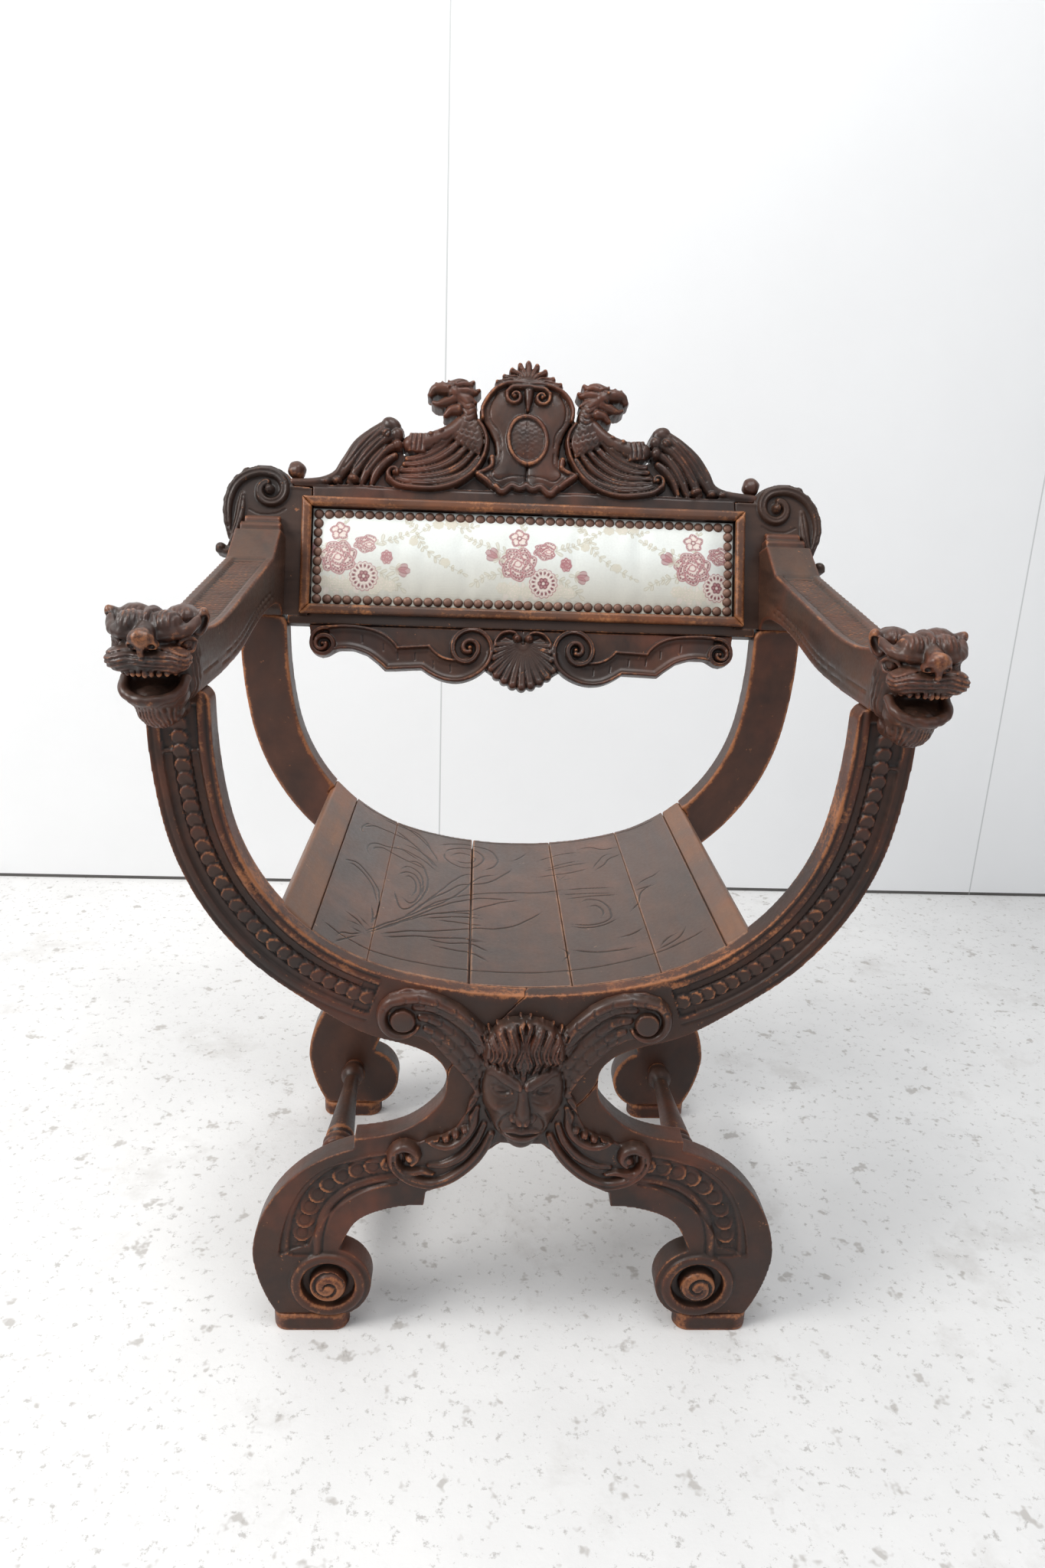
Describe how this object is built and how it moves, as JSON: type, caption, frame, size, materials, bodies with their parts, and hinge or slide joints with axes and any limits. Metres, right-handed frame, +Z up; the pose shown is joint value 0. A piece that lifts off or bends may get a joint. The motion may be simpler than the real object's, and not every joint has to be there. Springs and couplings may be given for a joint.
{
  "type": "savonarola armchair",
  "caption": "Carved X-frame armchair with a boarded hollow seat, downswept arms ending in beast heads, a mask at the crossing and a padded leaning back under a griffin crest.",
  "frame": {"origin": "on the floor, under the middle of the chair's bounding box", "axes": "+X to the viewer's right when the chair is seen from the front, -Y out of the front of the chair, +Z up"},
  "size_m": [0.769, 0.6124, 1.0301],
  "materials": {
    "dark_wood": "dark stained walnut, waxed, worn orange-brown on the edges",
    "worn_wood": "orange-brown, worn through the stain",
    "seat_wood": "dark stained boards, satin, dusty",
    "fabric": "pale blue-grey satin brocade with dusty rose flowers",
    "nails": "aged brown, domed heads"
  },
  "bodies": {
    "root": {"front_s_leg_left": "dark_wood", "front_s_leg_right": "dark_wood", "rear_s_leg_left": "dark_wood", "rear_s_leg_right": "dark_wood", "foot_pad_front_left": "dark_wood", "foot_pad_front_right": "dark_wood", "foot_pad_rear_left": "dark_wood", "foot_pad_rear_right": "dark_wood", "foot_stretcher_left": "dark_wood", "foot_stretcher_right": "dark_wood", "seat_end_rail_left": "seat_wood", "seat_board_1": "seat_wood", "seat_board_2": "seat_wood", "seat_board_3": "seat_wood", "seat_board_4": "seat_wood", "seat_board_5": "seat_wood", "seat_end_rail_right": "seat_wood", "arm_left": "dark_wood", "arm_right": "dark_wood", "arm_head_left": "dark_wood", "arm_head_right": "dark_wood", "front_carving": "dark_wood", "back_stile_left": "dark_wood", "back_stile_right": "dark_wood", "crest_rail": "dark_wood", "back_lower_rail": "dark_wood", "back_apron": "dark_wood", "panel_moulding_top": "worn_wood", "panel_moulding_bottom": "worn_wood", "panel_moulding_left": "worn_wood", "panel_moulding_right": "worn_wood", "back_panel_board": "seat_wood", "back_upholstery": "fabric", "upholstery_nails": "nails"}
  },
  "joints": []
}
